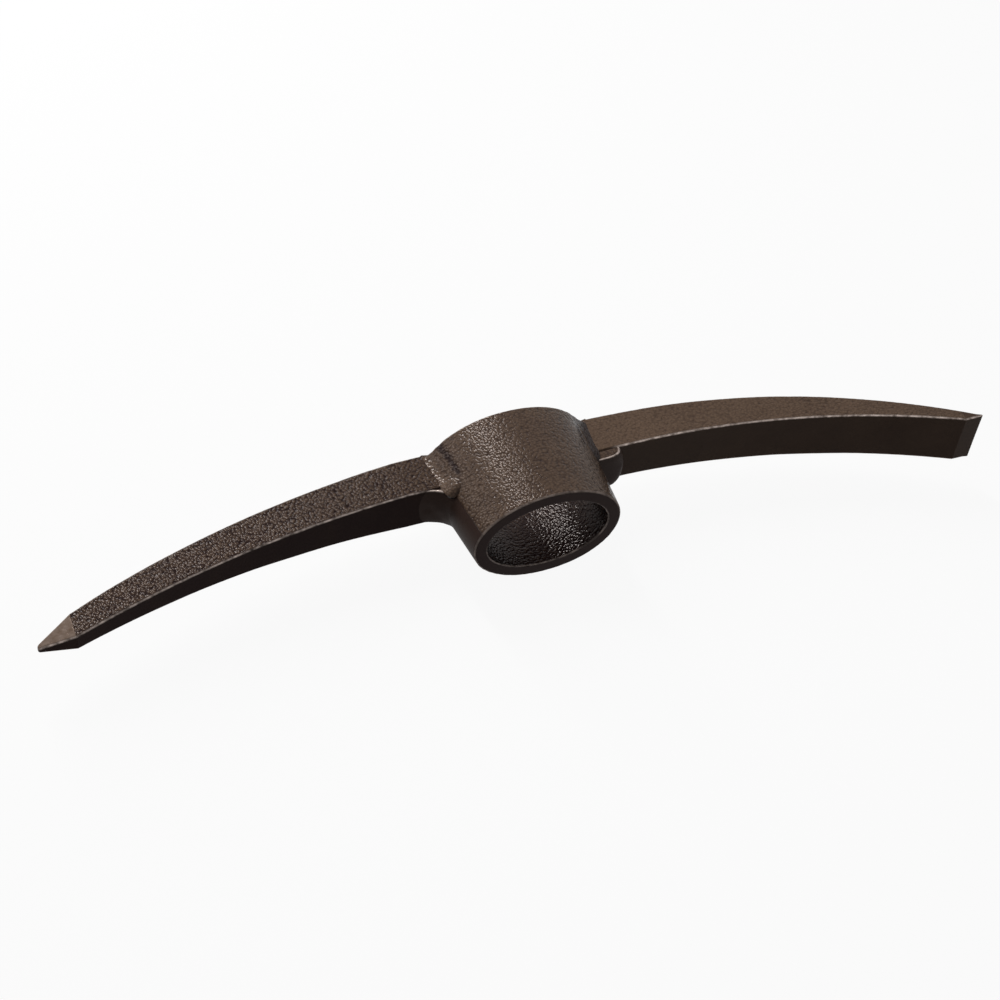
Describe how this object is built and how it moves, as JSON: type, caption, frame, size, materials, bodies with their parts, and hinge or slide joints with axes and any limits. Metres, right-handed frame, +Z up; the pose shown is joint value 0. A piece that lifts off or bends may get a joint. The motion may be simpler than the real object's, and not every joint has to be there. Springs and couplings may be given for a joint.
{
  "type": "pick axe head",
  "caption": "Steel pick axe head: a tapered oval eye for a handle, with a pointed arm and a chisel arm welded to its ends, both curving towards the handle end.",
  "frame": {"origin": "on the axis of the handle eye, halfway between its two rims", "axes": "the head lies on its side: X runs along the arms with the point towards -X and the chisel towards +X, +Y runs along the eye from the handle end to the crown, and +Z is up, through the cheek that faces up"},
  "size_m": [0.54, 0.0708, 0.0686],
  "materials": {
    "hammered_paint": "dark brown hammered enamel with a fine pebble, satin gloss",
    "painted_weld": "the same enamel over rippled weld metal"
  },
  "bodies": {
    "root": {"eye_ring": "hammered_paint", "point_arm": "hammered_paint", "chisel_arm": "hammered_paint", "point_weld_front": "painted_weld", "point_weld_under": "painted_weld", "point_weld_back": "painted_weld", "point_weld_crown": "painted_weld", "chisel_weld_front": "painted_weld", "chisel_weld_under": "painted_weld", "chisel_weld_back": "painted_weld", "chisel_weld_crown": "painted_weld"}
  },
  "joints": []
}
